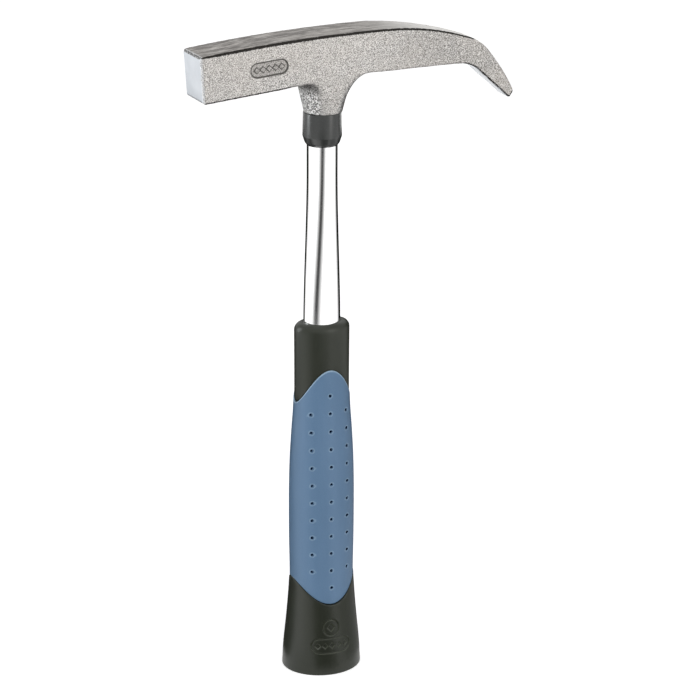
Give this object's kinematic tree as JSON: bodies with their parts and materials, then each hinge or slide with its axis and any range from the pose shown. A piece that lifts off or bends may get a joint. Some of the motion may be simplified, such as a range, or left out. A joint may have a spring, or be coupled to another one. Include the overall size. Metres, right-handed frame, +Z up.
{
  "type": "brick hammer",
  "caption": "Brick hammer: forged head with a square face and a curved narrow blade on an oval steel tube handle with a two-part grip.",
  "frame": {"origin": "centre of the flat butt, on the handle's axis", "axes": "+Z up the handle towards the head, the striking face looks to -X and the blade points to +X"},
  "size_m": [0.1745, 0.0386, 0.3406],
  "materials": {
    "forged_steel": "shot-blasted sides, ground face and top",
    "plated_tube": "polished",
    "cone_steel": "machined",
    "collar_plastic": "satin",
    "grip_black": "satin",
    "grip_blue": "matt",
    "plug_plastic": "moulded"
  },
  "bodies": {
    "root": {"hammer_head": "forged_steel", "handle_tube": "plated_tube", "spreader_cone": "cone_steel", "neck_collar": "collar_plastic", "grip_core": "grip_black", "grip_sleeve": "grip_blue", "tube_end_plug": "plug_plastic"}
  },
  "joints": []
}
